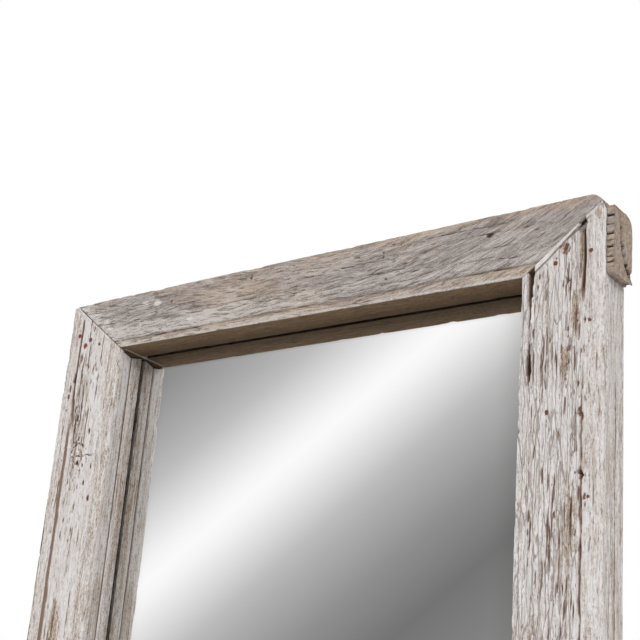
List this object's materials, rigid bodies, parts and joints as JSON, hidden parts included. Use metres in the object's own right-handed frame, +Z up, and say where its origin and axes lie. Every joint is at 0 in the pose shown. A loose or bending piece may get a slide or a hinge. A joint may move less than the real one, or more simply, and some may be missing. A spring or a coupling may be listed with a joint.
{
  "type": "wall mirror",
  "caption": "Rectangular wall mirror in a thick frame of weathered, whitewashed timber, with a mitred front, a horned head rail, beaded stiles and ring hangers on the back.",
  "frame": {"origin": "middle of the top rubber pad's face, on the plane that touches the wall", "axes": "+X to the right seen from the front, +Y into the wall, +Z up; the mirror faces -Y"},
  "size_m": [0.7285, 0.05, 1.2115],
  "materials": {
    "whitewashed_timber": "old timber with worn chalky whitewash, cracked along the grain",
    "grey_timber": "weathered grey-brown bare timber with traces of whitewash",
    "mirror": "silvered plate glass",
    "hardboard": "brown hardboard, smooth with a fine fleck",
    "pad_rubber": "matt black rubber",
    "rusted_iron": "rusted iron",
    "zinc_steel": "zinc-plated steel, slightly dulled",
    "button_brass": "brushed brass, slightly tarnished"
  },
  "bodies": {
    "frame": {"left_stile": "whitewashed_timber", "right_stile": "whitewashed_timber", "bottom_rail": "whitewashed_timber", "head_rail": "grey_timber", "mirror_glass": "mirror", "backing_board": "hardboard", "setting_blocks": "pad_rubber", "wall_pads": "pad_rubber", "corner_nails": "rusted_iron", "old_nails": "rusted_iron", "button_screws": "zinc_steel", "hanger_screws": "zinc_steel", "hanger_strap_left": "zinc_steel", "hanger_strap_right": "zinc_steel"},
    "turn_button_left_upper": {"turn_button_left_upper": "button_brass"},
    "turn_button_left_lower": {"turn_button_left_lower": "button_brass"},
    "turn_button_right_upper": {"turn_button_right_upper": "button_brass"},
    "turn_button_right_lower": {"turn_button_right_lower": "button_brass"},
    "turn_button_top": {"turn_button_top": "button_brass"},
    "turn_button_bottom": {"turn_button_bottom": "button_brass"},
    "hanger_ring_left": {"hanger_ring_left": "zinc_steel"},
    "hanger_ring_right": {"hanger_ring_right": "zinc_steel"}
  },
  "joints": [
    {"name": "turn_left_upper", "type": "hinge", "parent": "frame", "child": "turn_button_left_upper", "pos_m": [-0.2905, -0.003, -0.386], "axis": [0, 1, 0], "range_deg": [-90, 90]},
    {"name": "turn_left_lower", "type": "hinge", "parent": "frame", "child": "turn_button_left_lower", "pos_m": [-0.2905, -0.003, -0.886], "axis": [0, 1, 0], "range_deg": [-90, 90]},
    {"name": "turn_right_upper", "type": "hinge", "parent": "frame", "child": "turn_button_right_upper", "pos_m": [0.2905, -0.003, -0.386], "axis": [0, 1, 0], "range_deg": [-90, 90]},
    {"name": "turn_right_lower", "type": "hinge", "parent": "frame", "child": "turn_button_right_lower", "pos_m": [0.2905, -0.003, -0.886], "axis": [0, 1, 0], "range_deg": [-90, 90]},
    {"name": "turn_top", "type": "hinge", "parent": "frame", "child": "turn_button_top", "pos_m": [0, -0.003, -0.033], "axis": [0, 1, 0], "range_deg": [-90, 90]},
    {"name": "turn_bottom", "type": "hinge", "parent": "frame", "child": "turn_button_bottom", "pos_m": [0, -0.003, -1.126], "axis": [0, 1, 0], "range_deg": [-90, 90]},
    {"name": "swing_left", "type": "hinge", "parent": "frame", "child": "hanger_ring_left", "pos_m": [-0.32, -0.0064, -0.24], "axis": [1, 0, 0], "range_deg": [0, 180]},
    {"name": "swing_right", "type": "hinge", "parent": "frame", "child": "hanger_ring_right", "pos_m": [0.32, -0.0064, -0.24], "axis": [1, 0, 0], "range_deg": [0, 180]}
  ]
}
